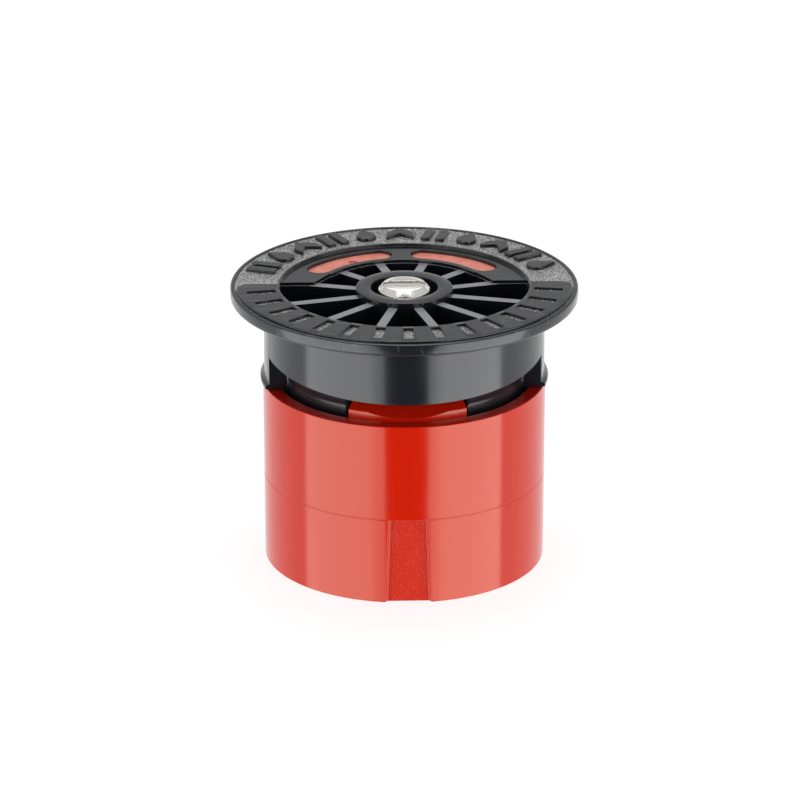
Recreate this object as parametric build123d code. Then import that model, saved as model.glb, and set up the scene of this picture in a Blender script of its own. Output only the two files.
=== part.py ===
from build123d import *

# Fixed half-circle spray nozzle of a pop-up sprinkler. Millimetres, +Z up, spray window towards -Y,
# origin on the axis at the bottom ring. A moulded body screws onto the riser; a deflector cap is
# staked to it; a screw in the cap's hub lowers a throttle plug onto a soft seat.

import os
from math import cos, radians, sin, tan

# Riser socket and body
THREAD_R = 8.0            # wall of the threaded socket
MOUTH_CHAMFER = 0.8       # lead-in at the socket's mouth
SOCKET_DEPTH = 8.3        # mouth to gasket recess
SLEEVE_WALL = 1.5         # threaded sleeve
CORE_GAP = 1.0            # moulding core between the sleeve and the outer skin
CORE_DEPTH = 6.4
CORE_RIBS = 8
RIB_W = 1.1
SKIN_WALL = 1.17          # outer skin, which is also the width of the ledge
DRAFT = 0.07              # how much smaller the body's foot is
GASKET_T = 1.0
GASKET_BITE = 0.3         # the gasket's recess is this much wider than the socket
GASKET_BORE = 0.72        # bore of the gasket, as a share of the socket's radius
PLATE_T = 1.4             # plate that carries the seat
CHAMBER_H = 4.75          # plate to ledge
PARTING_Z = 7.3           # height of the mould's parting line
PARTING_GROOVE = 0.06

# Key notch at the front of the foot
NOTCH_TOP_W = 2.9
NOTCH_FOOT_W = 3.5
NOTCH_DEPTH = 0.45
NOTCH_BEVEL = 0.25

# Throttle seat
SEAT_R = 4.3
SEAT_BORE_R = 2.6
SEAT_T = 1.0
SEAT_LIP = 0.9            # the plate's hole is this much smaller than the seat

# Front block that shapes the close spray
BLOCK_HALF_ANGLE = 27.3
BLOCK_T = 1.3
BLOCK_FRONT_H = 0.72      # front edge above the ledge
BLOCK_SLOPE = 35.0
BLOCK_FOOT = 2.0          # how far the block reaches down inside the wall
BLOCK_ROOM = 1.5          # degrees kept free beside the block
SCOOP_R = 90.0
SCOOP_DEPTH = 0.43

# Stakes that hold the cap, with wide heads formed in pockets of the crescent
STAKE_R = 8.5
STAKE_T = 1.05
STAKE_ANGLES = ((37.0, 77.5), (102.5, 144.0))
STAKE_CLEAR = 0.05
STAKE_BELOW = 0.1         # heads below the crescent's face
STAKE_HEAD_W = 2.0
STAKE_HEAD_T = 0.35

# Deflector cap
SKIRT_INSET = 0.10        # the skirt is this much smaller than the body
SKIRT_WALL = 1.32
SPRAY_GAP = 0.4           # slot between the ledge and the deflector
DEFLECTOR_WALL = 1.0
SPIGOT_FIT = 0.03
SPIGOT_DEPTH = 1.25       # how far the cap reaches below the ledge
WINDOW_H = 1.85
WINDOW_END_Y = 3.0
WINDOW_TILT = 6.5
DEFLECT_H = 0.70
FLOOR_T = 1.0
POCKET_H = 4.4
RIM_OVERHANG = 2.73
RIM_T = 0.9
RIM_ROUND = 0.25
BEAD_W = 0.3
BEAD_H = 0.12
GRIP_GROOVE = 0.2
BAND_H = 0.27
BAND_IN = 0.08
BAND_ROUND = 1.0
GRIP_SLOTS = 15
GRIP_PITCH = 11.5
GRIP_W = 0.8
GRIP_IN = 0.4
GRIP_L = 2.35
PAD_COUNT = 11
PAD_PITCH = 14.0
PAD_IN = 0.65
PAD_L = 2.6
PAD_SHARE = 0.74          # how much of its pitch a pad fills
PAD_H = 0.35
LIP_W = 0.32
LIP_H = 0.45
LIP_LIFT = 0.05           # under the lip, so that it clears the ledge

# Spoked recess and hub
SPOKES = 12
SPOKE_W = 0.8
SPOKE_BELOW = 0.55        # spoke tops below the rim's floor
HUB_R = 4.0
HUB_BELOW = 0.1
COUNTERBORE_R = 2.78
CRESCENT_IN = 6.95
CRESCENT_WALL = 0.5
CRESCENT_END_Y = 1.7
CRESCENT_BELOW = 0.25
CRESCENT_T = 0.8

# Screw, seal and throttle plug
SCREW_R = 1.25
SCREW_FIT = 0.05
HEAD_R = 2.16
HEAD_TOP_R = 1.85
HEAD_H = 1.95
HEAD_DOME = 0.45
HEAD_CROWN_R = 1.39       # flat at the top of the head
HEAD_ABOVE = 0.3          # head above the rim's floor when fully open
DRIVE_W = 0.5
DRIVE_DEPTH = 0.8
SEAL_R = 2.05
SEAL_DEPTH = 0.8
SEAL_WIRE_R = 0.385
BOSS_L = 1.7
GUIDE_WALL = 1.04
GUIDE_FIT = 0.06
GUIDE_LIFT = 1.5          # gap below the guide for the water
KEY_W = 1.0
KEY_FIT = 0.08
KEY_REACH = 0.6
KEY_ROOT = 0.8            # how far a key starts inside the plug's wall
PLUG_R = 3.0
PLUG_CONE_H = 0.8
PLUG_NECK_R = 2.2
PLUG_SHOULDER = 1.3
PLUG_POCKET_R = 1.6
SHUT_GAP = 0.05
TRAVEL = 2.8              # four turns of a 0.7 mm pitch
TIP_R = 0.9
TIP_FIT = 0.05
TIP_L = 2.2
TIP_CHAMFER = 0.2
CLIP_GROOVE_R = 0.6
CLIP_R = 1.45
CLIP_T = 0.35
CLIP_PLAY = 0.03
CLIP_MOUTH = 0.8

# Heights
GASKET_Z = SOCKET_DEPTH
PLATE_Z = GASKET_Z + GASKET_T
DECK_Z = PLATE_Z + PLATE_T
LEDGE_Z = DECK_Z + CHAMBER_H
FLOOR_Z = LEDGE_Z + WINDOW_H + DEFLECT_H
POCKET_Z = FLOOR_Z + FLOOR_T
RIM_Z = POCKET_Z + POCKET_H
CRESCENT_Z = RIM_Z - CRESCENT_BELOW
BOSS_Z = FLOOR_Z - BOSS_L
GUIDE_Z = DECK_Z + GUIDE_LIFT
HEAD_Z = RIM_Z + HEAD_ABOVE - HEAD_H

# Radii
SLEEVE_R = THREAD_R + SLEEVE_WALL
LEDGE_R = SLEEVE_R + CORE_GAP
BODY_R = LEDGE_R + SKIN_WALL
SKIRT_R = BODY_R - SKIRT_INSET
RECESS_R = SKIRT_R - SKIRT_WALL
DEFLECTOR_R = LEDGE_R - SPRAY_GAP
RIM_R = SKIRT_R + RIM_OVERHANG
GUIDE_R = PLUG_R + GUIDE_FIT
GUIDE_OUT_R = GUIDE_R + GUIDE_WALL

# Throttle plug, worked out from where it meets the seat
PLUG_TOP = BOSS_Z - SHUT_GAP
PLUG_CONTACT = (SEAT_BORE_R - PLUG_NECK_R) / (PLUG_R - PLUG_NECK_R) * PLUG_CONE_H
PLUG_FOOT = DECK_Z + SHUT_GAP - PLUG_CONTACT + TRAVEL
FAR = 3 * RIM_R
BITE = 0.1                # overlap that makes two solids join


def disc(radius, z0, z1):
    """Upright solid cylinder between two heights."""
    return Pos(0, 0, z0) * Cylinder(radius, z1 - z0, align=(Align.CENTER, Align.CENTER, Align.MIN))


def ring(outer, inner, z0, z1):
    """Upright tube between two heights."""
    return disc(outer, z0, z1) - disc(inner, z0 - 1, z1 + 1)


def turned(*points):
    """Solid of revolution about Z from (radius, height) points."""
    face = Plane.XZ * make_face(Polyline(*points, close=True))
    return revolve(face, Axis.Z)


def block(width, depth, z0, z1, x=0.0, y=0.0):
    """Box centred on x, y between two heights."""
    align = (Align.CENTER, Align.CENTER, Align.MIN)
    return Pos(x, y, z0) * Box(width, depth, z1 - z0, align=align)


def sector(angle0, angle1, z0, z1, reach=FAR):
    """Wedge of less than a half turn between two angles, counted from +X."""
    middle = (angle0 + angle1) / 2
    half = (angle1 - angle0) / 2
    far = reach / cos(radians(half)) if half < 80 else reach * 5
    corners = [(0, 0)]
    for angle in (angle0, middle, angle1):
        corners.append((far * cos(radians(angle)), far * sin(radians(angle))))
    return Pos(0, 0, z0) * extrude(make_face(Polyline(*corners, close=True)), z1 - z0)


def curved_bar(radius, width, angle0, angle1, z0, z1):
    """Bar bent round the axis, with rounded ends."""
    bar = ring(radius + width / 2, radius - width / 2, z0, z1) & sector(angle0, angle1, z0 - 1, z1 + 1)
    for angle in (angle0, angle1):
        end = Pos(radius * cos(radians(angle)), radius * sin(radians(angle)), 0)
        bar += end * disc(width / 2, z0, z1)
    return bar


def key_notch():
    """Wedge that cuts the key notch into the foot, with bevelled sides."""
    outer = BODY_R + 1
    floor = BODY_R - DRAFT - NOTCH_DEPTH
    faces = []
    for y, grow in ((-floor, 0.0), (-floor - NOTCH_DEPTH, NOTCH_BEVEL), (-outer, NOTCH_BEVEL)):
        top = NOTCH_TOP_W / 2 + grow
        foot = NOTCH_FOOT_W / 2 + grow
        outline = Polyline((-foot, -1), (foot, -1), (top, PARTING_Z), (-top, PARTING_Z), close=True)
        faces.append(Plane((0, y, 0), (1, 0, 0), (0, -1, 0)) * make_face(outline))
    return loft(faces, ruled=True)


def front_block():
    """Block behind the ledge at the front, with a sloping and scooped top."""
    inner = LEDGE_R - BLOCK_T
    lift = BLOCK_T * tan(radians(BLOCK_SLOPE))
    edge = LEDGE_Z + BLOCK_FRONT_H
    solid = turned(
        (inner, LEDGE_Z - BLOCK_FOOT - BLOCK_T),
        (LEDGE_R + SKIN_WALL / 2, LEDGE_Z - BLOCK_FOOT),
        (LEDGE_R + SKIN_WALL / 2, LEDGE_Z - SKIN_WALL),
        (LEDGE_R, LEDGE_Z - SKIN_WALL),
        (LEDGE_R, edge),
        (inner, edge + lift),
    )
    solid &= sector(270 - BLOCK_HALF_ANGLE, 270 + BLOCK_HALF_ANGLE, 0, RIM_Z)
    scoop = Cylinder(SCOOP_R, 4 * BLOCK_T + 4)
    turn = Pos(0, -LEDGE_R, edge - SCOOP_DEPTH) * Rot(BLOCK_SLOPE - 90, 0, 0) * Pos(0, -SCOOP_R, 0)
    return solid - turn * scoop


def stakes():
    """Two curved stakes that rise from the plate through the cap, with their formed heads."""
    solids = []
    top = CRESCENT_Z - STAKE_BELOW
    for angle0, angle1 in STAKE_ANGLES:
        solids.append(curved_bar(STAKE_R, STAKE_T, angle0, angle1, DECK_Z - 2 * BITE, top))
        solids.append(curved_bar(STAKE_R, STAKE_HEAD_W, angle0, angle1, top - STAKE_HEAD_T, top))
    return solids


def nozzle_body():
    """Moulded body: threaded sleeve, skin, seat plate, front block and stakes."""
    body = turned((0, 0), (BODY_R - DRAFT, 0), (BODY_R, LEDGE_Z), (0, LEDGE_Z))
    body -= disc(LEDGE_R, DECK_Z, LEDGE_Z + 1)
    body -= disc(THREAD_R, -1, GASKET_Z + 0.01)
    body -= turned((0, -1), (THREAD_R + MOUTH_CHAMFER + 1, -1), (THREAD_R, MOUTH_CHAMFER), (0, MOUTH_CHAMFER))
    body -= disc(THREAD_R + GASKET_BITE, GASKET_Z, PLATE_Z)
    body -= disc(SEAT_R - SEAT_LIP, PLATE_Z - 1, DECK_Z + 1)
    body -= disc(SEAT_R, DECK_Z - SEAT_T, DECK_Z + 1)
    core = ring(LEDGE_R, SLEEVE_R, -1, CORE_DEPTH)
    for k in range(CORE_RIBS):
        spoke = block(FAR, RIB_W, -2, CORE_DEPTH + 1, x=FAR / 2)
        core -= Rot(0, 0, (k + 0.5) * 360 / CORE_RIBS) * spoke
    body -= core
    body -= key_notch()
    body -= turned(
        (BODY_R + 1, PARTING_Z - PARTING_GROOVE - 1),
        (BODY_R - DRAFT / 2 - PARTING_GROOVE, PARTING_Z),
        (BODY_R + 1, PARTING_Z + PARTING_GROOVE + 1),
    )
    body += front_block()
    for stake in stakes():
        body += stake
    return body


def window_cut():
    """Room that the spray window takes out of the skirt, in front of the deflector's curved wall."""
    top = LEDGE_Z + WINDOW_H
    slope = tan(radians(WINDOW_TILT))
    front = -FAR / 2
    outline = Polyline(
        (-WINDOW_END_Y, LEDGE_Z),
        (front, LEDGE_Z),
        (front, top + slope * (SKIRT_R + front)),
        (-WINDOW_END_Y, top + slope * (SKIRT_R - WINDOW_END_Y)),
        close=True,
    )
    wedge = Pos(-FAR / 2, 0, 0) * extrude(Plane.YZ * make_face(outline), FAR)
    flare = SKIRT_R - DEFLECTOR_R - SPRAY_GAP
    start = LEDGE_Z + WINDOW_H / 2
    wall = turned((0, 0), (DEFLECTOR_R, 0), (DEFLECTOR_R, start), (DEFLECTOR_R + flare / 4, start + flare),
                  (DEFLECTOR_R + flare, start + 2 * flare), (0, start + 2 * flare))
    return wedge - wall


def spigot():
    """Wall below the cap's floor: a close fit in the body behind, the deflector in front."""
    foot = LEDGE_Z - SPIGOT_DEPTH
    inner = DEFLECTOR_R - DEFLECTOR_WALL
    wall = ring(DEFLECTOR_R, inner, foot, FLOOR_Z + BITE)
    close = ring(LEDGE_R - SPIGOT_FIT, inner, foot, FLOOR_Z + BITE)
    close -= block(FAR, FAR, 0, RIM_Z, y=-FAR / 2 - WINDOW_END_Y)
    return wall + close


def block_room():
    """Room in the deflector's wall for the body's front block."""
    half = BLOCK_HALF_ANGLE + BLOCK_ROOM
    room = sector(270 - half, 270 + half, 0, FLOOR_Z - DEFLECT_H / 4)
    return room & ring(DEFLECTOR_R, DEFLECTOR_R - DEFLECTOR_WALL - 1, 0, RIM_Z)


def crescent():
    """Plate behind the hub that hides the stakes, with the wall below its inner edge."""
    cavity = ring(RECESS_R + BITE, CRESCENT_IN, POCKET_Z - BITE, CRESCENT_Z)
    cavity &= block(FAR, FAR, 0, RIM_Z, y=FAR / 2 + CRESCENT_END_Y)
    inside = ring(RECESS_R, CRESCENT_IN + CRESCENT_WALL, POCKET_Z, CRESCENT_Z - CRESCENT_T)
    inside &= block(FAR, FAR, 0, RIM_Z, y=FAR / 2 + CRESCENT_END_Y + CRESCENT_WALL)
    return cavity - inside


def spokes():
    """Spokes between the hub and the recess wall, cut away where the crescent stands."""
    bars = []
    top = RIM_Z - SPOKE_BELOW
    for k in range(SPOKES):
        angle = (k + 0.5) * 360 / SPOKES
        length = RECESS_R - HUB_R + 4 * BITE
        bar = block(length, SPOKE_W, POCKET_Z - BITE, top, x=HUB_R - 2 * BITE + length / 2)
        bar = Rot(0, 0, angle) * bar
        room = disc(RECESS_R + 1, 0, RIM_Z) - disc(CRESCENT_IN + CRESCENT_WALL / 2, 0, RIM_Z)
        room &= block(FAR, FAR, 0, RIM_Z, y=FAR / 2 + CRESCENT_END_Y + CRESCENT_WALL / 2)
        bars.append(bar - room)
    return bars


def grip_band():
    """Raised band on the front half of the rim, with radial grip slots."""
    outer = RIM_R - BEAD_W - GRIP_GROOVE
    inner = RECESS_R + BAND_IN
    band = ring(outer, inner, RIM_Z - BITE, RIM_Z + BAND_H)
    band -= block(FAR, FAR, 0, RIM_Z + 5, y=FAR / 2)
    corners = band.edges().filter_by(Axis.Z).filter_by(lambda e: abs(e.center().Y) < BITE)
    corners = corners.filter_by(lambda e: abs(e.center().X) > outer - BITE)
    band = fillet(corners, BAND_ROUND)
    for k in range(GRIP_SLOTS):
        angle = 270 + (k - (GRIP_SLOTS - 1) / 2) * GRIP_PITCH
        slot = block(GRIP_L, GRIP_W, RIM_Z, RIM_Z + BAND_H + 1, x=inner + GRIP_IN + GRIP_L / 2)
        band -= Rot(0, 0, angle) * slot
    return band


def pads():
    """Plain raised pads on the back half of the rim."""
    inner = RECESS_R + PAD_IN
    blanks = []
    for k in range(PAD_COUNT):
        middle = 90 + (k - (PAD_COUNT - 1) / 2) * PAD_PITCH
        half = PAD_PITCH * PAD_SHARE / 2
        pad = ring(inner + PAD_L, inner, RIM_Z - BITE, RIM_Z + PAD_H)
        pad &= sector(middle - half, middle + half, RIM_Z - 1, RIM_Z + 1)
        blanks.append(pad)
    return blanks


def deflector_cap():
    """Deflector cap: rim, spoked recess with the hub, skirt with the spray window, and plug guide."""
    under = RIM_Z - RIM_T
    cap = turned(
        (0, FLOOR_Z),
        (RECESS_R, FLOOR_Z),
        (RECESS_R, LEDGE_Z),
        (SKIRT_R + LIP_W, LEDGE_Z + LIP_LIFT),
        (SKIRT_R + LIP_W, LEDGE_Z + LIP_LIFT + LIP_H / 2),
        (SKIRT_R, LEDGE_Z + LIP_LIFT + LIP_H),
        (SKIRT_R, under),
        (RIM_R - RIM_ROUND, under),
        (RIM_R, under + RIM_ROUND),
        (RIM_R, RIM_Z),
        (RIM_R - BEAD_H, RIM_Z + BEAD_H),
        (RIM_R - BEAD_W + BEAD_H, RIM_Z + BEAD_H),
        (RIM_R - BEAD_W, RIM_Z),
        (RECESS_R, RIM_Z),
        (RECESS_R, POCKET_Z),
        (0, POCKET_Z),
    )
    cap += spigot()
    cap += disc(HUB_R, POCKET_Z - BITE, RIM_Z - HUB_BELOW)
    for bar in spokes():
        cap += bar
    cap += crescent()
    pocket = CRESCENT_Z - STAKE_BELOW - STAKE_HEAD_T - STAKE_CLEAR
    for angle0, angle1 in STAKE_ANGLES:
        cap -= curved_bar(STAKE_R, STAKE_T + 2 * STAKE_CLEAR, angle0, angle1, FLOOR_Z - 1, RIM_Z)
        cap -= curved_bar(STAKE_R, STAKE_HEAD_W + 2 * STAKE_CLEAR, angle0, angle1, pocket, RIM_Z)
    cap += disc(GUIDE_OUT_R, GUIDE_Z, FLOOR_Z + BITE)
    cap -= disc(GUIDE_R, GUIDE_Z - 1, BOSS_Z)
    for angle in (0, 180):
        reach = PLUG_R + KEY_REACH + KEY_FIT
        key = block(reach, KEY_W + 2 * KEY_FIT, GUIDE_Z - 1, BOSS_Z, x=reach / 2)
        cap -= Rot(0, 0, angle) * key
    cap -= disc(COUNTERBORE_R, POCKET_Z - BITE, RIM_Z + 1)
    cap -= disc(SEAL_R, POCKET_Z - BITE - SEAL_DEPTH, RIM_Z)
    cap -= disc(SCREW_R + SCREW_FIT, BOSS_Z - 1, RIM_Z)
    cap -= block_room()
    cap -= window_cut()
    cap += grip_band()
    for pad in pads():
        cap += pad
    return cap


def radius_screw():
    """Slotted screw with a domed head, a plain-thread shank and a grooved tip for the clip."""
    top = HEAD_Z + HEAD_H
    tip = PLUG_TOP - TIP_L
    groove = PLUG_TOP - PLUG_SHOULDER
    screw = turned(
        (0, tip),
        (TIP_R - TIP_CHAMFER, tip),
        (TIP_R, tip + TIP_CHAMFER),
        (TIP_R, groove - CLIP_T - 2 * CLIP_PLAY),
        (CLIP_GROOVE_R, groove - CLIP_T - 2 * CLIP_PLAY),
        (CLIP_GROOVE_R, groove),
        (TIP_R, groove),
        (TIP_R, PLUG_TOP + CLIP_PLAY),
        (SCREW_R, PLUG_TOP + CLIP_PLAY),
        (SCREW_R, HEAD_Z),
        (HEAD_R, HEAD_Z),
        (HEAD_R, top - HEAD_DOME),
        (HEAD_TOP_R, top - HEAD_DOME / 3),
        (HEAD_CROWN_R, top),
        (0, top),
    )
    return screw - block(3 * HEAD_R, DRIVE_W, top - DRIVE_DEPTH, top + 1)


def plug_clip():
    """Open retaining clip in the groove of the screw's tip."""
    groove = PLUG_TOP - PLUG_SHOULDER
    z1 = groove - CLIP_PLAY
    clip = ring(CLIP_R, CLIP_GROOVE_R + CLIP_PLAY, z1 - CLIP_T, z1)
    return clip - block(CLIP_MOUTH, 2 * CLIP_R, z1 - 2, z1 + 1, y=-CLIP_R)


def throttle_plug():
    """Plug that slides in the guide, with two keys and a cone that meets the seat."""
    shoulder = PLUG_TOP - PLUG_SHOULDER
    plug = turned(
        (TIP_R + TIP_FIT, PLUG_TOP),
        (TIP_R + TIP_FIT, shoulder),
        (PLUG_POCKET_R, shoulder),
        (PLUG_POCKET_R, PLUG_FOOT),
        (PLUG_NECK_R, PLUG_FOOT),
        (PLUG_R, PLUG_FOOT + PLUG_CONE_H),
        (PLUG_R, PLUG_TOP),
    )
    for angle in (0, 180):
        length = KEY_ROOT + KEY_REACH
        key = block(length, KEY_W, PLUG_FOOT + PLUG_CONE_H, PLUG_TOP, x=PLUG_R - KEY_ROOT + length / 2)
        plug += Rot(0, 0, angle) * key
    return plug


def throttle_seat():
    """Soft ring in the plate that the plug shuts against."""
    return ring(SEAT_R, SEAT_BORE_R, DECK_Z - SEAT_T, DECK_Z)


def riser_gasket():
    """Flat gasket above the thread, which the riser's end presses on."""
    return ring(THREAD_R + GASKET_BITE, THREAD_R * GASKET_BORE, GASKET_Z, PLATE_Z)


def screw_o_ring():
    """O-ring round the screw's shank, in the hub's gland."""
    middle = POCKET_Z - BITE - SEAL_DEPTH + SEAL_WIRE_R
    return Pos(0, 0, middle) * Torus(SEAL_R - SEAL_WIRE_R, SEAL_WIRE_R)


PIECES = {
    "nozzle_body": nozzle_body,
    "deflector_cap": deflector_cap,
    "radius_screw": radius_screw,
    "plug_clip": plug_clip,
    "throttle_plug": throttle_plug,
    "throttle_seat": throttle_seat,
    "riser_gasket": riser_gasket,
    "screw_o_ring": screw_o_ring,
}

os.makedirs("parts", exist_ok=True)
for name, make in PIECES.items():
    export_step(make(), f"parts/{name}.step")
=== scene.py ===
import math

import bmesh
import bpy
from bpy.props import FloatProperty, FloatVectorProperty, IntProperty, PointerProperty
from mathutils import Matrix, Vector


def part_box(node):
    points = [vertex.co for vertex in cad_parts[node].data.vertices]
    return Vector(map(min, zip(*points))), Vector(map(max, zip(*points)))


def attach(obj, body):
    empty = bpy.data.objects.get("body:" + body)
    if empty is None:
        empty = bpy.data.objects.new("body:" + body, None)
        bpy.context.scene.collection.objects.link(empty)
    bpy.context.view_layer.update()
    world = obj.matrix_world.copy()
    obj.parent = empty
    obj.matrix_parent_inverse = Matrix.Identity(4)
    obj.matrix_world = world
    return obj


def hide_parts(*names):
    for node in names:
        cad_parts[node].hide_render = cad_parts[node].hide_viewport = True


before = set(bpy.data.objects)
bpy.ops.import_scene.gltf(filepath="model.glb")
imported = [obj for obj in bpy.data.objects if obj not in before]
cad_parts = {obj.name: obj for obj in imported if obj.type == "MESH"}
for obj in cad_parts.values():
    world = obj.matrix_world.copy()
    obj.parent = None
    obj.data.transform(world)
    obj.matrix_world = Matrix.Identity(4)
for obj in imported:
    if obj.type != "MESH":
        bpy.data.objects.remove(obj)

bl_info = {
    "name": "Spray nozzle",
    "version": (1, 0, 0),
    "blender": (4, 5, 0),
    "location": "3D View > Sidebar > Nozzle",
    "description": "Builds the visible pieces of a fixed half-circle spray nozzle around its CAD frame",
    "category": "Object",
}

# Shapes are made in millimetres and brought to metres as each piece is finished.
MM = 0.001
TURN = 2 * math.pi
STEPS = 360

_, CAP_HIGH = (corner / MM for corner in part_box("deflector_cap"))
_, BODY_HIGH = (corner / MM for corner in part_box("nozzle_body"))
SCREW_LOW, SCREW_HIGH = (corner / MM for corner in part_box("radius_screw"))
SEAT_LOW, SEAT_HIGH = (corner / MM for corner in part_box("throttle_seat"))
GASKET_LOW, GASKET_HIGH = (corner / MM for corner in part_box("riser_gasket"))
_, PLUG_HIGH = (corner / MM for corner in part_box("throttle_plug"))
CLIP_LOW, CLIP_HIGH = (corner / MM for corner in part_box("plug_clip"))
RING_LOW, RING_HIGH = (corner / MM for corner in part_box("screw_o_ring"))


def length(name, description, default):
    """A size property in millimetres."""
    return FloatProperty(name=name, description=description, default=default, min=0.0, unit="NONE")


def colour(name, description, default):
    """A colour property in linear light."""
    return FloatVectorProperty(name=name, description=description, default=default, size=4,
                               subtype="COLOR", min=0.0, max=1.0)


class NozzleBodySizes(bpy.types.PropertyGroup):
    """Sizes of the moulded body, in millimetres."""

    radius: length("Radius", "Outer radius at the ledge", BODY_HIGH.x)
    draft: length("Draft", "How much smaller the foot is", 0.07)
    ledge_z: length("Ledge height", "Foot to ledge", 15.45)
    skin: length("Skin", "Outer wall, which is the ledge's width", 1.17)
    thread_r: length("Thread radius", "Wall of the threaded socket", 8.0)
    thread_pitch: length("Thread pitch", "Rise per turn of the riser thread", 0.94)
    thread_ridge: length("Thread ridge", "Height of the thread's ridge", 0.5)
    mouth: length("Mouth chamfer", "Lead-in at the socket's mouth", 0.8)
    sleeve_wall: length("Sleeve wall", "Wall round the thread", 1.5)
    core_depth: length("Core depth", "Depth of the moulding cores from below", 6.4)
    rib: length("Rib", "Width of the ribs between the cores", 1.1)
    ribs: IntProperty(name="Ribs", description="Ribs between the cores", default=8, min=2)
    parting_z: length("Parting line", "Height of the mould's parting line", 7.3)
    notch_top: length("Notch top width", "Key notch at the parting line", 2.9)
    notch_foot: length("Notch foot width", "Key notch at the foot", 3.5)
    notch_depth: length("Notch depth", "Depth of the key notch", 0.45)
    notch_bevel: length("Notch bevel", "Width of the notch's sloped sides", 0.28)


class NozzleCapSizes(bpy.types.PropertyGroup):
    """Sizes of the deflector cap, in millimetres."""

    rim_r: length("Rim radius", "Outer radius of the rim", CAP_HIGH.x)
    rim_z: length("Rim height", "Floor of the rim's top face", 23.4)
    rim_t: length("Rim thickness", "Thickness of the rim", 0.9)
    skirt_r: length("Skirt radius", "Outer radius of the skirt", 11.57)
    skirt_wall: length("Skirt wall", "Wall between the skirt and the recess", 1.32)
    floor_z: length("Floor", "Underside of the recess floor", 18.0)
    floor_t: length("Floor thickness", "Thickness of the recess floor", 1.0)
    window_h: length("Window height", "Ledge to skirt edge at the front", 1.85)
    window_y: length("Window end", "Distance of the window's ends in front of the axis", 3.0)
    window_tilt: length("Window tilt", "Slope of the skirt's edge, in degrees", 6.5)
    deflector_r: length("Deflector radius", "Wall behind the spray window", 10.1)
    band_h: length("Band height", "Raised band above the rim's floor", 0.27)
    band_round: length("Band corner", "Rounding of the band's end corners", 1.0)
    slots: IntProperty(name="Slots", description="Grip slots in the band", default=15, min=1)
    slot_pitch: length("Slot pitch", "Angle between slots, in degrees", 11.5)
    slot_w: length("Slot width", "Width of a grip slot", 0.8)
    slot_l: length("Slot length", "Length of a grip slot", 2.35)
    pad_h: length("Pad height", "Raised pads above the rim's floor", 0.35)
    pad_l: length("Pad length", "Radial length of a raised pad", 2.6)
    hub_r: length("Hub radius", "Outer radius of the hub", 4.0)
    counterbore_r: length("Counterbore", "Hub bore round the screw's head", 2.78)
    spokes: IntProperty(name="Spokes", description="Spokes between hub and rim", default=12, min=3)
    spoke_w: length("Spoke width", "Width of a spoke", 0.8)
    spoke_below: length("Spoke drop", "Spoke tops below the rim's floor", 0.55)
    crescent_in: length("Crescent radius", "Inner radius of the crescent plate", 6.95)
    crescent_y: length("Crescent end", "Straight ends behind the axis", 1.7)
    crescent_below: length("Crescent drop", "Crescent face below the rim's floor", 0.25)
    stake_r: length("Stake radius", "Middle of the stakes and their slots", 8.5)
    stake_t: length("Stake thickness", "Thickness of the stakes", 1.05)
    head_w: length("Stake head width", "Width of the stakes' formed heads", 2.0)
    head_t: length("Stake head thickness", "Thickness of the stakes' formed heads", 0.35)
    stake_gap: length("Stake clearance", "Clearance round the stakes", 0.05)


class NozzleColours(bpy.types.PropertyGroup):
    """Colours of the finishes."""

    red: colour("Body red", "Moulded body", (0.445, 0.009, 0.001, 1.0))
    # Painted highlight: a salmon colour painted on the top faces of the stake heads
    stake: colour("Stake top highlight", "Painted highlight on the stake tops", (0.80, 0.27, 0.20, 1.0))
    black: colour("Cap black", "Moulded cap", (0.008, 0.009, 0.012, 1.0))
    # Painted sheen: lighter grey painted on the spoke tops; the same grey also tints the handling scuffs
    sheen_and_wear: colour("Sheen and scuff grey", "Painted sheen on the spoke tops, and scuffs", (0.24, 0.24, 0.25, 1.0))
    grain: colour("Grain glint", "Grainy floor of the rim", (0.72, 0.72, 0.70, 1.0))
    steel: colour("Screw steel", "Stainless screw", (0.97, 0.95, 0.90, 1.0))
    acetal: colour("Plug white", "Throttle plug", (0.72, 0.72, 0.66, 1.0))
    rubber: colour("Rubber black", "Seat, gasket and seal", (0.018, 0.018, 0.018, 1.0))
    floor: colour("Floor", "Studio floor", (0.25, 0.25, 0.25, 1.0))


# Mesh tools

def rounded(corners, turns=4):
    """Closed outline from (x, y) or (x, y, round) corners, with its rounds as short arcs."""
    points = []
    count = len(corners)
    for i, corner in enumerate(corners):
        here = Vector(corner[:2])
        radius = corner[2] if len(corner) > 2 else 0.0
        before = (Vector(corners[i - 1][:2]) - here)
        after = (Vector(corners[(i + 1) % count][:2]) - here)
        if radius <= 0 or before.length == 0 or after.length == 0:
            points.append(here)
            continue
        half = before.angle(after) / 2
        reach = radius / math.tan(half)
        start = here + before.normalized() * reach
        end = here + after.normalized() * reach
        centre = here + (before.normalized() + after.normalized()).normalized() * (radius / math.sin(half))
        a0 = math.atan2(start.y - centre.y, start.x - centre.x)
        sweep = math.atan2(end.y - centre.y, end.x - centre.x) - a0
        sweep = (sweep + math.pi) % TURN - math.pi
        for k in range(turns + 1):
            a = a0 + sweep * k / turns
            points.append(centre + radius * Vector((math.cos(a), math.sin(a))))
    return points


def arc(radius, angle0, angle1, step=2.0):
    """Points along an arc about the axis, angles in degrees from +X."""
    count = max(2, int(abs(angle1 - angle0) / step) + 1)
    points = []
    for k in range(count):
        a = math.radians(angle0 + (angle1 - angle0) * k / (count - 1))
        points.append((radius * math.cos(a), radius * math.sin(a)))
    return points


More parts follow.
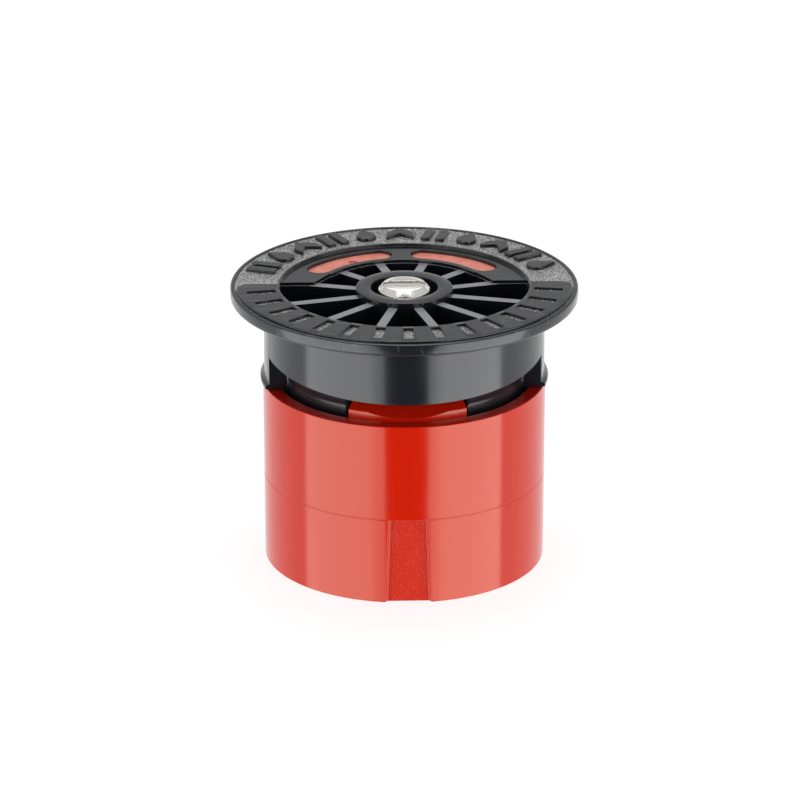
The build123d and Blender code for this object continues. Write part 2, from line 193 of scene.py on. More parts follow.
def lathe(bm, outline, start=0.0, sweep=360.0, rise=0.0, steps=None):
    """Adds a closed (radius, height) outline turned about the axis, in part or with a rise per turn."""
    turn = Matrix.Rotation(math.radians(start), 3, "Z")
    verts = [bm.verts.new(turn @ Vector((p[0], 0, p[1]))) for p in outline]
    edges = [bm.edges.new((verts[i - 1], verts[i])) for i in range(len(verts))
             if outline[i - 1][0] > 1e-6 or outline[i][0] > 1e-6]
    whole = sweep >= 360.0 and not rise
    steps = steps or max(2, round(STEPS * sweep / 360))
    if not whole:
        bm.faces.new(verts)
    step_rise = (0, 0, rise * sweep / 360 / steps)
    made = bmesh.ops.spin(bm, geom=verts + edges, cent=(0, 0, 0), axis=(0, 0, 1), dvec=step_rise,
                          angle=math.radians(sweep), steps=steps, use_merge=whole)
    if whole:
        return
    ends = [edge for edge in made["geom_last"] if isinstance(edge, bmesh.types.BMEdge)]
    bmesh.ops.edgeloop_fill(bm, edges=ends)


UPRIGHT = Matrix.Identity(4)
SIDEWAYS = Matrix(((0, 0, 1, 0), (1, 0, 0, 0), (0, 1, 0, 0), (0, 0, 0, 1)))
FORWARD = Matrix(((1, 0, 0, 0), (0, 0, -1, 0), (0, 1, 0, 0), (0, 0, 0, 1)))


def prism(bm, outline, near, far, way=UPRIGHT):
    """Adds a prism of a closed outline: upright, sideways (along X) or forward (along -Y)."""
    face = bm.faces.new([bm.verts.new((p[0], p[1], near)) for p in outline])
    made = bmesh.ops.extrude_face_region(bm, geom=[face])
    top = [v for v in made["geom"] if isinstance(v, bmesh.types.BMVert)]
    bmesh.ops.translate(bm, verts=top, vec=(0, 0, far - near))
    bmesh.ops.transform(bm, verts=top + list(face.verts), matrix=way)
    return top


def block(bm, size, centre, turn=0.0):
    """Adds a box, turned about the axis after it is placed."""
    made = bmesh.ops.create_cube(bm, size=1.0)
    bmesh.ops.scale(bm, verts=made["verts"], vec=size)
    bmesh.ops.translate(bm, verts=made["verts"], vec=centre)
    bmesh.ops.rotate(bm, verts=made["verts"], cent=(0, 0, 0),
                     matrix=Matrix.Rotation(math.radians(turn), 3, "Z"))


def shape(name, build, *values):
    """Object in millimetres whose bmesh is filled by build(bm, *values)."""
    bm = bmesh.new()
    build(bm, *values)
    bmesh.ops.remove_doubles(bm, verts=bm.verts, dist=1e-5)
    bmesh.ops.recalc_face_normals(bm, faces=bm.faces)
    mesh = bpy.data.meshes.new(name)
    bm.to_mesh(mesh)
    bm.free()
    obj = bpy.data.objects.new(name, mesh)
    bpy.context.scene.collection.objects.link(obj)
    return obj


def combine(target, tool, how):
    """Cuts, joins or intersects target with tool, and removes the tool."""
    modifier = target.modifiers.new(how, "BOOLEAN")
    modifier.operation = how
    modifier.solver = "MANIFOLD"
    modifier.object = tool
    bpy.context.view_layer.update()
    graph = bpy.context.evaluated_depsgraph_get()
    made = bpy.data.meshes.new_from_object(target.evaluated_get(graph))
    target.modifiers.clear()
    old = target.data
    target.data = made
    made.name = target.name
    bpy.data.meshes.remove(old)
    bpy.data.objects.remove(tool)
    if not made.polygons:
        raise RuntimeError(f"{target.name}: {how} left nothing")


def finish_piece(obj, material, body, edge=0.05, angle=32.0, nodes=()):
    """Brings a piece to metres, rounds its sharp edges, and gives it its finish, body and slot."""
    bm = bmesh.new()
    bm.from_mesh(obj.data)
    bmesh.ops.remove_doubles(bm, verts=bm.verts, dist=0.004)
    bmesh.ops.dissolve_degenerate(bm, edges=bm.edges, dist=0.002)
    bmesh.ops.scale(bm, verts=bm.verts, vec=(MM, MM, MM))
    bm.to_mesh(obj.data)
    bm.free()
    obj.data.polygons.foreach_set("use_smooth", [True] * len(obj.data.polygons))
    obj.data.set_sharp_from_angle(angle=math.radians(angle))
    obj.data.materials.clear()
    obj.data.materials.append(material)
    if edge:
        bevel = obj.modifiers.new("Edge rounding", "BEVEL")
        bevel.width = edge * MM
        bevel.segments = 2
        bevel.profile = 0.5
        bevel.limit_method = "ANGLE"
        bevel.angle_limit = math.radians(angle)
        bevel.use_clamp_overlap = False
        bevel.harden_normals = True
    even = obj.modifiers.new("Even shading", "WEIGHTED_NORMAL")
    even.keep_sharp = True
    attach(obj, body)
    if nodes:
        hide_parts(*nodes)


# Node groups and materials

def new_group(name, inputs, outputs):
    """Empty shader group with float sockets; returns the tree and its two end nodes."""
    tree = bpy.data.node_groups.new(name, "ShaderNodeTree")
    for label, default in inputs:
        socket = tree.interface.new_socket(label, in_out="INPUT", socket_type="NodeSocketFloat")
        socket.default_value = default
    for label in outputs:
        tree.interface.new_socket(label, in_out="OUTPUT", socket_type="NodeSocketFloat")
    return tree, tree.nodes.new("NodeGroupInput"), tree.nodes.new("NodeGroupOutput")


def math_node(tree, operation, *values):
    """Math node whose inputs are numbers or sockets; returns its output."""
    node = tree.nodes.new("ShaderNodeMath")
    node.operation = operation
    for socket, value in zip(node.inputs, values):
        if isinstance(value, (int, float)):
            socket.default_value = value
        else:
            tree.links.new(value, socket)
    return node.outputs[0]


def noise(tree, coordinates, scale, detail=2.0, roughness=0.5, stretch=None):
    """Noise of an object-space pattern; returns its value."""
    if stretch:
        mapping = tree.nodes.new("ShaderNodeMapping")
        mapping.inputs["Scale"].default_value = stretch
        tree.links.new(coordinates, mapping.inputs["Vector"])
        coordinates = mapping.outputs[0]
    node = tree.nodes.new("ShaderNodeTexNoise")
    node.inputs["Scale"].default_value = scale
    node.inputs["Detail"].default_value = detail
    node.inputs["Roughness"].default_value = roughness
    tree.links.new(coordinates, node.inputs["Vector"])
    return node.outputs["Fac"]


def smooth_step(tree, value, start, end, low=0.0, high=1.0):
    """Goes softly from low to high as value goes from start to end."""
    node = tree.nodes.new("ShaderNodeMapRange")
    node.interpolation_type = "SMOOTHSTEP"
    for label, number in (("From Min", start), ("From Max", end), ("To Min", low), ("To Max", high)):
        node.inputs[label].default_value = number
    tree.links.new(value, node.inputs["Value"])
    return node.outputs[0]


def band_pass(tree, value, low, high, soft):
    """1 where value lies between low and high, with soft ends."""
    rise = smooth_step(tree, value, low - soft, low + soft)
    fall = smooth_step(tree, value, high + soft, high - soft)
    return math_node(tree, "MULTIPLY", rise, fall)


def grain_group():
    """Spark-eroded mould grain: a height and a mask of bright glints."""
    tree, entry, out = new_group("Moulded grain", [("Scale", 4000.0)], ["Height", "Glint"])
    place = tree.nodes.new("ShaderNodeTexCoord")
    cells = tree.nodes.new("ShaderNodeTexVoronoi")
    tree.links.new(place.outputs["Object"], cells.inputs["Vector"])
    tree.links.new(entry.outputs["Scale"], cells.inputs["Scale"])
    fine = tree.nodes.new("ShaderNodeTexNoise")
    fine.inputs["Detail"].default_value = 3.0
    tree.links.new(place.outputs["Object"], fine.inputs["Vector"])
    tree.links.new(math_node(tree, "MULTIPLY", entry.outputs["Scale"], 0.8), fine.inputs["Scale"])
    height = math_node(tree, "ADD", cells.outputs["Distance"], fine.outputs["Fac"])
    tree.links.new(height, out.inputs["Height"])
    glint = math_node(tree, "POWER", math_node(tree, "MULTIPLY", fine.outputs["Fac"], 1.5), 4.0)
    tree.links.new(math_node(tree, "MINIMUM", glint, 1.0), out.inputs["Glint"])
    return tree


def rub_group():
    """Fine handling scuffs: thin streaks in two directions, as a height and a mask."""
    tree, entry, out = new_group("Handling scuffs", [("Amount", 0.5)], ["Height", "Mask"])
    place = tree.nodes.new("ShaderNodeTexCoord").outputs["Object"]
    streaks = []
    for stretch in ((260, 2600, 900), (2400, 300, 900)):
        value = noise(tree, place, 1.0, 4.0, 0.6, stretch)
        sharp = tree.nodes.new("ShaderNodeMapRange")
        sharp.inputs["From Min"].default_value = 0.60
        sharp.inputs["From Max"].default_value = 0.72
        tree.links.new(value, sharp.inputs["Value"])
        streaks.append(sharp.outputs[0])
    both = math_node(tree, "MAXIMUM", streaks[0], streaks[1])
    both = math_node(tree, "MULTIPLY", both, entry.outputs["Amount"])
    tree.links.new(both, out.inputs["Height"])
    tree.links.new(both, out.inputs["Mask"])
    return tree


def place_group():
    """Height and radius of a point in millimetres."""
    tree, entry, out = new_group("Place on the nozzle", [("Unit", 1 / MM)], ["Height", "Radius"])
    place = tree.nodes.new("ShaderNodeTexCoord")
    parts = tree.nodes.new("ShaderNodeSeparateXYZ")
    tree.links.new(place.outputs["Object"], parts.inputs[0])
    squares = [math_node(tree, "MULTIPLY", parts.outputs[i], parts.outputs[i]) for i in (0, 1)]
    radius = math_node(tree, "SQRT", math_node(tree, "ADD", squares[0], squares[1]))
    tree.links.new(math_node(tree, "MULTIPLY", radius, entry.outputs["Unit"]), out.inputs["Radius"])
    height = math_node(tree, "MULTIPLY", parts.outputs[2], entry.outputs["Unit"])
    tree.links.new(height, out.inputs["Height"])
    return tree


def group_node(tree, name, make, **values):
    """Places a shared group in a material, building the group the first time."""
    node = tree.nodes.new("ShaderNodeGroup")
    node.node_tree = bpy.data.node_groups.get(name) or make()
    for label, value in values.items():
        node.inputs[label].default_value = value
    return node


def new_material(name, base, roughness, **constants):
    """Principled material; returns it with its tree and shader."""
    material = bpy.data.materials.new(name)
    material.use_nodes = True
    tree = material.node_tree
    shader = tree.nodes["Principled BSDF"]
    shader.inputs["Base Color"].default_value = base
    shader.inputs["Roughness"].default_value = roughness
    for label, value in constants.items():
        shader.inputs[label.replace("_", " ")].default_value = value
    material.diffuse_color = base
    return material, tree, shader


def mix_colour(tree, mask, first, second):
    """Colour that goes from first to second by mask; each is a colour or a socket."""
    node = tree.nodes.new("ShaderNodeMix")
    node.data_type = "RGBA"
    tree.links.new(mask, node.inputs["Factor"])
    for label, value in (("A", first), ("B", second)):
        socket = [s for s in node.inputs if s.name == label and s.type == "RGBA"][0]
        if isinstance(value, bpy.types.NodeSocket):
            tree.links.new(value, socket)
        else:
            socket.default_value = value
    return [s for s in node.outputs if s.type == "RGBA"][0]


def remap(tree, value, low, high):
    """Value between 0 and 1 brought to a range."""
    node = tree.nodes.new("ShaderNodeMapRange")
    node.inputs["To Min"].default_value = low
    node.inputs["To Max"].default_value = high
    tree.links.new(value, node.inputs["Value"])
    return node.outputs[0]


def bump(tree, shader, height, strength, distance):
    """Bump from a height socket into the shader's normal."""
    node = tree.nodes.new("ShaderNodeBump")
    node.inputs["Strength"].default_value = strength
    node.inputs["Distance"].default_value = distance
    tree.links.new(height, node.inputs["Height"])
    tree.links.new(node.outputs[0], shader.inputs["Normal"])


def red_plastic(colours):
    """Glossy moulded red: faint mould waviness, grain in the key notch and a painted highlight on the stake
    tops.
    """
    material, tree, shader = new_material(
        "Red moulded plastic", colours.red, 0.16, IOR=1.5, Coat_Weight=0.12, Coat_Roughness=0.1)
    shader.inputs["Specular Tint"].default_value = (1.0, 0.98, 0.74, 1.0)
    sizes = bpy.context.scene.nozzle_body
    place = group_node(tree, "Place on the nozzle", place_group)
    grain = group_node(tree, "Moulded grain", grain_group, Scale=5200.0)
    notch_r = sizes.radius - sizes.draft - sizes.notch_depth
    notch = band_pass(tree, place.outputs["Radius"], notch_r - 0.12, notch_r + 0.22, 0.03)
    low = band_pass(tree, place.outputs["Height"], 0.05, sizes.parting_z - 0.1, 0.05)
    notch = math_node(tree, "MULTIPLY", notch, low)
    coordinates = tree.nodes.new("ShaderNodeTexCoord").outputs["Object"]
    # Painted highlight: the stake heads' top faces get the salmon colour, mottled by noise
    tops = band_pass(tree, place.outputs["Height"], BODY_HIGH.z - 2 * HEAD_DROP, BODY_HIGH.z - 0.12, 0.02)
    highlight_mottle = remap(tree, noise(tree, coordinates, 1100.0, 3.0), 0.45, 1.25)
    tops = math_node(tree, "MULTIPLY", tops, highlight_mottle)
    shade = mix_colour(tree, tops, colours.red, colours.stake)
    wave = noise(tree, coordinates, 1.0, 2.0, 0.5, (260, 260, 190))
    lines = noise(tree, coordinates, 1.0, 2.0, 0.5, (60, 60, 5200))
    rough = math_node(tree, "ADD", remap(tree, wave, 0.10, 0.2), math_node(tree, "MULTIPLY", notch, 0.16))
    tree.links.new(rough, shader.inputs["Roughness"])
    tree.links.new(shade, shader.inputs["Base Color"])
    height = math_node(tree, "MULTIPLY", grain.outputs["Height"], notch)
    height = math_node(tree, "ADD", height, math_node(tree, "MULTIPLY", wave, 0.12))
    height = math_node(tree, "ADD", height, math_node(tree, "MULTIPLY", lines, 0.04))
    bump(tree, shader, height, 0.5, 0.00006)
    return material


def black_plastic(colours):
    """Satin black cap: turned lines on the skirt, grain on the rim's floor, a painted grey sheen on the spoke
    tops, scuffs.
    """
    material, tree, shader = new_material(
        "Black moulded plastic", colours.black, 0.25, IOR=1.5, Coat_Weight=0.25, Coat_Roughness=0.12)
    sizes = bpy.context.scene.nozzle_cap
    place = group_node(tree, "Place on the nozzle", place_group)
    grain = group_node(tree, "Moulded grain", grain_group, Scale=8000.0)
    scuffs = group_node(tree, "Handling scuffs", rub_group, Amount=0.3)
    radius, level = place.outputs["Radius"], place.outputs["Height"]
    on_floor = band_pass(tree, level, sizes.rim_z - 0.05, sizes.rim_z + 0.03, 0.01)
    on_rim = band_pass(tree, radius, recess_r(sizes) + 0.15, sizes.rim_r - 0.2, 0.02)
    floor = math_node(tree, "MULTIPLY", on_floor, on_rim)
    spoke_z = sizes.rim_z - sizes.spoke_below
    on_spoke = band_pass(tree, level, spoke_z - 0.03, spoke_z + 0.03, 0.01)
    inside = band_pass(tree, radius, sizes.hub_r + 0.05, sizes.rim_r - 4.0, 0.05)
    # Painted sheen: the spoke tops inside the recess are painted lighter grey
    sheen_and_wear = math_node(tree, "MULTIPLY", on_spoke, inside)
    upper = band_pass(tree, level, spoke_z - 0.1, sizes.rim_z + 1.0, 0.05)
    scuff = math_node(tree, "MULTIPLY", scuffs.outputs["Mask"], upper)
    glint = math_node(tree, "MULTIPLY", grain.outputs["Glint"], floor)
    tone = mix_colour(tree, glint, colours.black, colours.grain)
    tone = mix_colour(tree, sheen_and_wear, tone, colours.sheen_and_wear)
    tone = mix_colour(tree, math_node(tree, "MULTIPLY", scuff, 0.5), tone, colours.sheen_and_wear)
    tree.links.new(tone, shader.inputs["Base Color"])
    coordinates = tree.nodes.new("ShaderNodeTexCoord").outputs["Object"]
    lines = noise(tree, coordinates, 1.0, 3.0, 0.6, (90, 90, 9000))
    cloud = noise(tree, coordinates, 420.0, 3.0)
    rough = math_node(tree, "ADD", remap(tree, cloud, 0.13, 0.24), math_node(tree, "MULTIPLY", floor, 0.25))
    rough = math_node(tree, "ADD", rough, math_node(tree, "MULTIPLY", scuff, 0.2))
    tree.links.new(math_node(tree, "MINIMUM", rough, 1.0), shader.inputs["Roughness"])
    height = math_node(tree, "MULTIPLY", grain.outputs["Height"], floor)
    height = math_node(tree, "ADD", height, math_node(tree, "MULTIPLY", lines, 0.07))
    height = math_node(tree, "SUBTRACT", height, math_node(tree, "MULTIPLY", scuff, 0.25))
    bump(tree, shader, height, 0.7, 0.00007)
    return material


def steel(name, base, rough_low, rough_high):
    """Turned stainless steel with fine lines and a few stains."""
    material, tree, shader = new_material(name, base, rough_low, Metallic=1.0)
    coordinates = tree.nodes.new("ShaderNodeTexCoord").outputs["Object"]
    lines = noise(tree, coordinates, 1.0, 3.0, 0.6, (7000, 900, 900))
    cloud = noise(tree, coordinates, 900.0, 3.0)
    tree.links.new(remap(tree, cloud, rough_low, rough_high), shader.inputs["Roughness"])
    dull = tuple(c * 0.7 for c in base[:3]) + (1.0,)
    stain = math_node(tree, "POWER", cloud, 3.0)
    tree.links.new(mix_colour(tree, stain, base, dull), shader.inputs["Base Color"])
    bump(tree, shader, lines, 0.25, 0.00003)
    return material


def plain_plastic(name, base, roughness, grain_scale):
    """Matt moulded plastic or rubber with a fine grain."""
    material, tree, shader = new_material(name, base, roughness)
    grain = group_node(tree, "Moulded grain", grain_group, Scale=grain_scale)
    coordinates = tree.nodes.new("ShaderNodeTexCoord").outputs["Object"]
    cloud = noise(tree, coordinates, 500.0, 3.0)
    light = tuple(min(1.0, c * 1.3) for c in base[:3]) + (1.0,)
    tree.links.new(mix_colour(tree, cloud, base, light), shader.inputs["Base Color"])
    tree.links.new(remap(tree, cloud, roughness - 0.08, roughness + 0.08), shader.inputs["Roughness"])
    bump(tree, shader, grain.outputs["Height"], 0.3, 0.00004)
    return material


def material(name):
    """The named finish, made on first use."""
    colours = bpy.context.scene.nozzle_colours
    makers = {
        "Red moulded plastic": lambda: red_plastic(colours),
        "Black moulded plastic": lambda: black_plastic(colours),
        "Stainless steel": lambda: steel("Stainless steel", tuple(colours.steel), 0.16, 0.34),
        "Spring steel": lambda: steel("Spring steel", tuple(colours.steel), 0.3, 0.45),
        "White acetal": lambda: plain_plastic("White acetal", tuple(colours.acetal), 0.42, 2500.0),
        "Black rubber": lambda: plain_plastic("Black rubber", tuple(colours.rubber), 0.62, 3500.0),
    }
    return bpy.data.materials.get(name) or makers[name]()


# Outlines shared by pieces

STAKE_ANGLES = ((37.0, 77.5), (102.5, 144.0))
HEAD_DROP = 0.16    # stake heads below the body's highest point, which the nub reaches
BLOCK_HALF_ANGLE = 27.3
BLOCK_T = 1.3
BLOCK_RISE = 0.72   # block's front edge above the ledge
BLOCK_SLOPE = 35.0


def round_end(radius, width, angle, first):
    """Points round the end of a bent bar, in steps of 15 degrees from the first direction."""
    end = math.radians(angle)
    middle = Vector((math.cos(end), math.sin(end))) * radius
    points = []
    for turn in range(first, first + 151, 15):
        a = math.radians(angle + turn)
        points.append(middle + Vector((math.cos(a), math.sin(a))) * width / 2)
    return points


def bar_outline(radius, width, angle0, angle1):
    """Outline of a bar bent round the axis, with rounded ends."""
    points = arc(radius + width / 2, angle0, angle1)
    points += round_end(radius, width, angle1, 15)
    points += arc(radius - width / 2, angle1, angle0)
    points += round_end(radius, width, angle0, 195)
    return points


# Body

def body_shell(bm, s):
    """Turned shell of the body: socket, gasket recess, seat plate, chamber, ledge and outer skin."""
    ledge_r = s.radius - s.skin
    hole = SEAT_HIGH.x - 0.9
    parting_r = s.radius - s.draft * (1 - s.parting_z / s.ledge_z)
    lathe(bm, rounded((
        (s.thread_r + s.mouth, 0, 0.05),
        (s.thread_r, s.mouth, 0.05),
        (s.thread_r, GASKET_LOW.z),
        (GASKET_HIGH.x, GASKET_LOW.z),
        (GASKET_HIGH.x, GASKET_HIGH.z),
        (hole, GASKET_HIGH.z, 0.1),
        (hole, SEAT_LOW.z),
        (SEAT_HIGH.x, SEAT_LOW.z),
        (SEAT_HIGH.x, SEAT_HIGH.z),
        (ledge_r, SEAT_HIGH.z, 0.3),
        (ledge_r, s.ledge_z, 0.05),
        (s.radius, s.ledge_z, 0.07),
        (parting_r, s.parting_z + 0.09),
        (parting_r - 0.05, s.parting_z),
        (parting_r, s.parting_z - 0.09),
        (s.radius - s.draft, 0, 0.08),
    )))


def body_cores(bm, s):
    """Curved cores that hollow the foot between its ribs."""
    inner = s.thread_r + s.sleeve_wall
    outer = s.radius - s.skin
    half = 180 / s.ribs - math.degrees(s.rib / 2 / ((inner + outer) / 2))
    outline = ((inner, -1), (outer, -1), (outer, s.core_depth), (inner, s.core_depth))
    for k in range(s.ribs):
        lathe(bm, outline, k * 360 / s.ribs - half, 2 * half)


def body_notch(bm, s):
    """Key notch in the foot, with sloped sides."""
    floor = s.radius - s.draft - s.notch_depth
    top, foot = s.notch_top / 2, s.notch_foot / 2
    outline = ((-foot, -1), (foot, -1), (top, s.parting_z), (-top, s.parting_z))
    tips = prism(bm, outline, floor, floor + s.notch_depth, FORWARD)
    for vert in tips:
        vert.co.x += math.copysign(s.notch_bevel, vert.co.x)
    ends = [face for face in bm.faces if all(v in tips for v in face.verts)]
    far = bmesh.ops.extrude_face_region(bm, geom=ends)
    moved = [v for v in far["geom"] if isinstance(v, bmesh.types.BMVert)]
    bmesh.ops.translate(bm, verts=moved, vec=(0, -1, 0))
    bmesh.ops.delete(bm, geom=ends, context="FACES_ONLY")


def body_block(bm, s):
    """Front block behind the ledge, with a sloping top."""
    outer = s.radius - s.skin
    inner = outer - BLOCK_T
    edge = s.ledge_z + BLOCK_RISE
    back = edge + BLOCK_T * math.tan(math.radians(BLOCK_SLOPE))
    in_skin = outer + s.skin / 2
    lathe(bm, rounded((
        (inner, s.ledge_z - 2.0 - BLOCK_T),
        (in_skin, s.ledge_z - 2.0),
        (in_skin, s.ledge_z - s.skin),
        (outer, s.ledge_z - s.skin),
        (outer, edge),
        (inner, back, 0.08),
    )), 270 - BLOCK_HALF_ANGLE, 2 * BLOCK_HALF_ANGLE)


def body_scoop(bm, s):
    """Wide round bar that hollows the block's sloping top."""
    radius, depth = 90.0, 0.43
    made = bmesh.ops.create_cone(bm, cap_ends=True, segments=1440, radius1=radius, radius2=radius, depth=9)
    bmesh.ops.translate(bm, verts=made["verts"], vec=(0, -radius, 0))
    bmesh.ops.rotate(bm, verts=made["verts"], cent=(0, 0, 0),
                     matrix=Matrix.Rotation(math.radians(BLOCK_SLOPE - 90), 3, "X"))
    front = s.radius - s.skin
    bmesh.ops.translate(bm, verts=made["verts"], vec=(0, -front, s.ledge_z + BLOCK_RISE - depth))


def body_stakes(bm, c):
    """Shanks of the two curved stakes."""
    for angle0, angle1 in STAKE_ANGLES:
        prism(bm, bar_outline(c.stake_r, c.stake_t, angle0, angle1), SEAT_HIGH.z - 0.2, BODY_HIGH.z - 0.2)


def stake_heads(bm, c):
    """Formed heads of the stakes."""
    low, high = BODY_HIGH.z - c.head_t, BODY_HIGH.z - HEAD_DROP
    for angle0, angle1 in STAKE_ANGLES:
        prism(bm, bar_outline(c.stake_r, c.head_w, angle0, angle1), low, high)


def stake_nub(bm, c):
    """Flattened moulding nub on the left stake, up to the body's highest point."""
    size, flat = 0.5, 0.7
    made = bmesh.ops.create_icosphere(bm, subdivisions=3, radius=size)
    bmesh.ops.scale(bm, verts=made["verts"], vec=(1.0, 1.0, flat))
    angle, radius = math.radians(120), c.stake_r - 0.35
    place = (radius * math.cos(angle), radius * math.sin(angle), BODY_HIGH.z - size * flat - 0.01)
    bmesh.ops.translate(bm, verts=made["verts"], vec=place)


class NozzlePiece:
    """Shared options of the nozzle's operators."""

    bl_options = {"REGISTER", "UNDO"}


class OBJECT_OT_nozzle_body(NozzlePiece, bpy.types.Operator):
    """Build the red moulded body with its notch, cores, front block and stakes."""

    bl_idname = "object.nozzle_body"
    bl_label = "Nozzle Body"

    def execute(self, context):
        sizes, cap = context.scene.nozzle_body, context.scene.nozzle_cap
        body = shape("moulded_body", body_shell, sizes)
        block_piece = shape("block", body_block, sizes)
        combine(block_piece, shape("scoop", body_scoop, sizes), "DIFFERENCE")
        combine(body, block_piece, "UNION")
        combine(body, shape("cores", body_cores, sizes), "DIFFERENCE")
        combine(body, shape("notch", body_notch, sizes), "DIFFERENCE")
        stakes = shape("stakes", body_stakes, cap)
        combine(stakes, shape("heads", stake_heads, cap), "UNION")
        combine(stakes, shape("nub", stake_nub, cap), "UNION")
        combine(body, stakes, "UNION")
        finish_piece(body, material("Red moulded plastic"), "root", nodes=("nozzle_body",))
        return {"FINISHED"}


class OBJECT_OT_nozzle_riser_thread(NozzlePiece, bpy.types.Operator):
    """Build the helical ridge of the riser thread."""

    bl_idname = "object.nozzle_riser_thread"
    bl_label = "Riser Thread"

    def execute(self, context):
        s = context.scene.nozzle_body
        crest, root = s.thread_r - s.thread_ridge, s.thread_r + 0.03
        low = s.mouth + 0.5
        turns = (GASKET_LOW.z - low - 0.5) / s.thread_pitch
        half = s.thread_pitch * 0.36
        outline = ((root, low - half), (root, low + half), (crest, low + 0.08), (crest, low - 0.08))
        steps = round(turns * 96)
        ridge = shape("riser_thread_ridge", lathe, outline, 20.0, turns * 360, s.thread_pitch, steps)
        finish_piece(ridge, material("Red moulded plastic"), "root", edge=0.03)
        return {"FINISHED"}


# Cap

def body_ledge():
    """Height of the body's ledge."""
    return bpy.context.scene.nozzle_body.ledge_z


def recess_r(s):
    """Radius of the recess inside the rim."""
    return s.skirt_r - s.skirt_wall


def cap_shell(bm, s):
    """Turned shell of the cap, whole all round before its window and slots are cut."""
    ledge = body_ledge()
    pocket = s.floor_z + s.floor_t
    gland_z = pocket - 0.1
    hub_z = s.rim_z - 0.1
    under = s.rim_z - s.rim_t
    foot = ledge - 1.25
    gland = RING_HIGH.x
    screw = 1.3
    boss = PLUG_HIGH.z + 0.05
    guide = PLUG_HIGH.y + 0.06
    guide_out = guide + 1.04
    guide_z = SEAT_HIGH.z + 1.5
    bead_z = s.rim_z + 0.13
    lip = s.skirt_r + 0.32
    spigot_in, spigot_out = s.deflector_r - 1.0, s.deflector_r + 0.37
    lathe(bm, rounded((
        (screw, boss, 0.05),
        (screw, RING_LOW.z),
        (gland, RING_LOW.z),
        (gland, gland_z),
        (s.counterbore_r, gland_z, 0.1),
        (s.counterbore_r, hub_z, 0.07),
        (s.hub_r, hub_z, 0.12),
        (s.hub_r, pocket, 0.15),
        (recess_r(s), pocket, 0.2),
        (recess_r(s), s.rim_z, 0.07),
        (s.rim_r - 0.42, s.rim_z, 0.08),
        (s.rim_r - 0.34, bead_z, 0.06),
        (s.rim_r, bead_z, 0.16),
        (s.rim_r, under, 0.28),
        (s.skirt_r, under, 0.16),
        (s.skirt_r, ledge + 0.52, 0.05),
        (lip, ledge + 0.36, 0.08),
        (lip, ledge + 0.06, 0.06),
        (spigot_out, ledge),
        (spigot_out, foot, 0.1),
        (spigot_in, foot, 0.1),
        (spigot_in, s.floor_z, 0.2),
        (guide_out, s.floor_z, 0.2),
        (guide_out, guide_z, 0.08),
        (guide, guide_z, 0.08),
        (guide, boss),
    )))


def window_ring(bm, s):
    """Ring outside the deflector's curved wall, from below the ledge to above the window."""
    ledge = body_ledge()
    flare = s.skirt_r - s.deflector_r - 0.4
    start = ledge + s.window_h / 2
    outer = s.rim_r
    top = start + 2 * flare + 0.7
    lathe(bm, rounded((
        (s.deflector_r, ledge - 1.4),
        (outer, ledge - 1.4),
        (outer, top),
        (s.deflector_r + flare, top),
        (s.deflector_r + flare, start + 2 * flare, 0.3),
        (s.deflector_r + flare / 4, start + flare, 1.2),
        (s.deflector_r, start, 1.2),
    ), 8))


def window_wedge(bm, s):
    """Straight-ended room of the spray window, with a tilted top."""
    ledge = body_ledge()
    top = ledge + s.window_h
    slope = math.tan(math.radians(s.window_tilt))
    front = -s.rim_r - 2
    prism(bm, (
        (-s.window_y, ledge - 1.6),
        (front, ledge - 1.6),
        (front, top + slope * (s.skirt_r + front)),
        (-s.window_y, top + slope * (s.skirt_r - s.window_y)),
    ), -s.rim_r, s.rim_r, SIDEWAYS)


def block_room(bm, s):
    """Room in the deflector's wall for the body's front block."""
    ledge = body_ledge()
    inner, outer = s.deflector_r - 2.0, s.deflector_r + 0.6
    top = s.floor_z - 0.175
    outline = ((inner, ledge - 2), (outer, ledge - 2), (outer, top), (inner, top))
    half = BLOCK_HALF_ANGLE + 1.5
    lathe(bm, outline, 270 - half, 2 * half)


def key_slots(bm, s):
    """Two slots in the guide for the plug's keys."""
    reach = PLUG_HIGH.x + 0.08
    low, high = SEAT_HIGH.z, PLUG_HIGH.z + 0.05
    block(bm, (2 * reach, 1.16, high - low), (0, 0, (high + low) / 2))


def cap_spokes(bm, s):
    """Spokes from the hub to the recess wall, or to the crescent behind."""
    recess = recess_r(s)
    low, high = s.floor_z + s.floor_t - 0.2, s.rim_z - s.spoke_below
    half = s.spoke_w / 2
    section = rounded(((-half, low), (half, low), (half, high, 0.07), (-half, high, 0.07)), 3)
    for k in range(s.spokes):
        angle = math.radians((k + 0.5) * 360 / s.spokes)
        behind = math.sin(angle) * s.crescent_in > s.crescent_y + 0.3
        end = s.crescent_in + 0.25 if behind else recess + 0.3
        prism(bm, section, s.hub_r - 0.3, end, Matrix.Rotation(angle, 4, "Z") @ SIDEWAYS)


def crescent_ring(bm, s):
    """Half ring that the crescent plate is cut from."""
    recess = recess_r(s)
    top = s.rim_z - s.crescent_below
    low = s.floor_z + s.floor_t - 0.1
    lathe(bm, ((s.crescent_in, low), (recess + 0.2, low), (recess + 0.2, top), (s.crescent_in, top)), 0, 180)


def crescent_field(bm, s):
    """Field that gives the crescent its straight ends and slanted inner corners."""
    wide, y, tall = s.rim_r, s.crescent_y, s.rim_z + 2
    prism(bm, ((wide, y), (s.crescent_in + 0.4, y), (s.crescent_in - 0.9, y + 2.05),
               (0.9 - s.crescent_in, y + 2.05), (-s.crescent_in - 0.4, y), (-wide, y),
               (-wide, wide), (wide, wide)), 0, tall)


def crescent_hollow(bm, s):
    """Hollow below the crescent plate, where the stakes stand."""
    recess = recess_r(s)
    low, top = s.floor_z + s.floor_t, s.rim_z - s.crescent_below - 0.8
    inner = s.crescent_in + 0.5
    lathe(bm, ((inner, low), (recess, low), (recess, top), (inner, top)), 18, 144)


